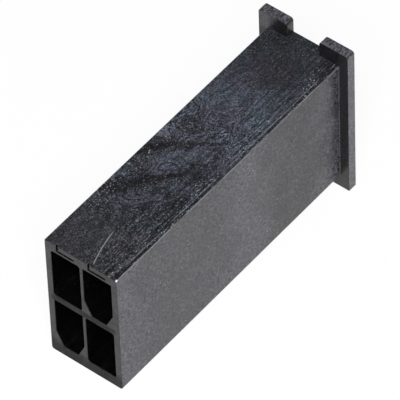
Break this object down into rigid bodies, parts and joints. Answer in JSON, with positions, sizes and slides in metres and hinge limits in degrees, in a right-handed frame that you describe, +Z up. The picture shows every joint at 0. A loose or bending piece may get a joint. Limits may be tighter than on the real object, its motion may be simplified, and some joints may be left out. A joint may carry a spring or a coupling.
{
  "type": "pin header",
  "caption": "Shrouded pin header: a long black moulded housing with keyed cavities, a notched flange at the board end and square pins held in its base.",
  "frame": {"origin": "under the middle of the whole part, solder tails included, level with the foot of the flange", "axes": "+X across the width, to the right when looking at the mating face; +Y from the mating face to the solder tails; +Z up"},
  "size_m": [0.012, 0.042, 0.0213],
  "materials": {
    "housing_plastic": "satin black moulding with fine flow marks",
    "pin_metal": "bright tin plating"
  },
  "bodies": {
    "root": {"housing": "housing_plastic", "pin_1": "pin_metal", "pin_2": "pin_metal", "pin_3": "pin_metal", "pin_4": "pin_metal"}
  },
  "joints": []
}
